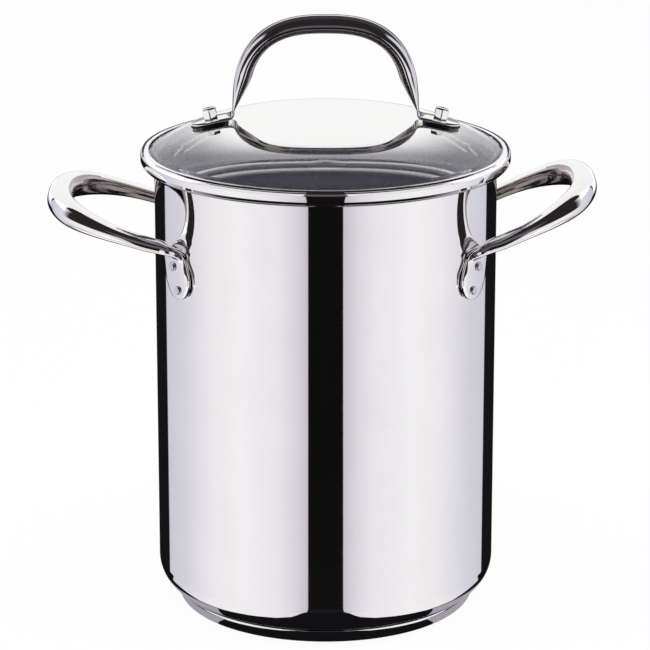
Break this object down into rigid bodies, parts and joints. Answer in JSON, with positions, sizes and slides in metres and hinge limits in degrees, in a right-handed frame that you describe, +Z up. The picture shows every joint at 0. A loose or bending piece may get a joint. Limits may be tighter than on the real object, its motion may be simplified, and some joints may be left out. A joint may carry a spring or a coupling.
{
  "type": "asparagus pot",
  "caption": "Tall polished steel pot with riveted loop handles, a domed glass lid with an arched grip, and a lift-out perforated basket with a folding bail.",
  "frame": {"origin": "on the pot's axis, at the middle of the flat underside that it stands on", "axes": "+Z up along the pot's axis; +X out through the right side handle, -X through the left; -Y is the front, from which the pot is pictured"},
  "size_m": [0.2614, 0.1744, 0.2856],
  "materials": {
    "polished_steel": "mirror-polished stainless steel",
    "satin_steel": "satin stainless steel",
    "aluminium": "plain rolled aluminium, enclosed in the base",
    "clear_glass": "clear tempered glass, smooth",
    "black_silicone": "matt silicone"
  },
  "bodies": {
    "pot": {"pot_shell": "polished_steel", "base_cap": "polished_steel", "core_disc": "aluminium", "handle_left": "polished_steel", "handle_right": "polished_steel", "rivet_left_rear_lower": "satin_steel", "rivet_left_rear_upper": "satin_steel", "rivet_left_front_lower": "satin_steel", "rivet_left_front_upper": "satin_steel", "rivet_right_rear_lower": "satin_steel", "rivet_right_rear_upper": "satin_steel", "rivet_right_front_lower": "satin_steel", "rivet_right_front_upper": "satin_steel"},
    "basket": {"basket_wall": "satin_steel", "basket_base": "satin_steel", "basket_hoop": "polished_steel", "bail_ear_left": "polished_steel", "bail_ear_right": "polished_steel"},
    "bail": {"bail": "polished_steel"},
    "lid": {"lid_glass": "clear_glass", "lid_band": "polished_steel", "lid_handle": "polished_steel", "cap_nut_left": "polished_steel", "foot_gasket_left": "black_silicone", "glass_washer_left": "black_silicone", "handle_screw_left": "satin_steel", "cap_nut_right": "polished_steel", "foot_gasket_right": "black_silicone", "glass_washer_right": "black_silicone", "handle_screw_right": "satin_steel"}
  },
  "joints": [
    {"name": "basket_lift", "type": "slide", "parent": "pot", "child": "basket", "axis": [0, 0, 1], "range_m": [0, 0.2]},
    {"name": "lid_lift", "type": "slide", "parent": "basket", "child": "lid", "axis": [0, 0, 1], "range_m": [0, 0.12]},
    {"name": "bail_swing", "type": "hinge", "parent": "basket", "child": "bail", "pos_m": [0, 0, 0.2], "axis": [1, 0, 0], "range_deg": [0, 178.8]}
  ],
  "couplings": [
    {"joint": "bail_swing", "follows": "lid_lift", "rad_per_m": 26.005}
  ]
}
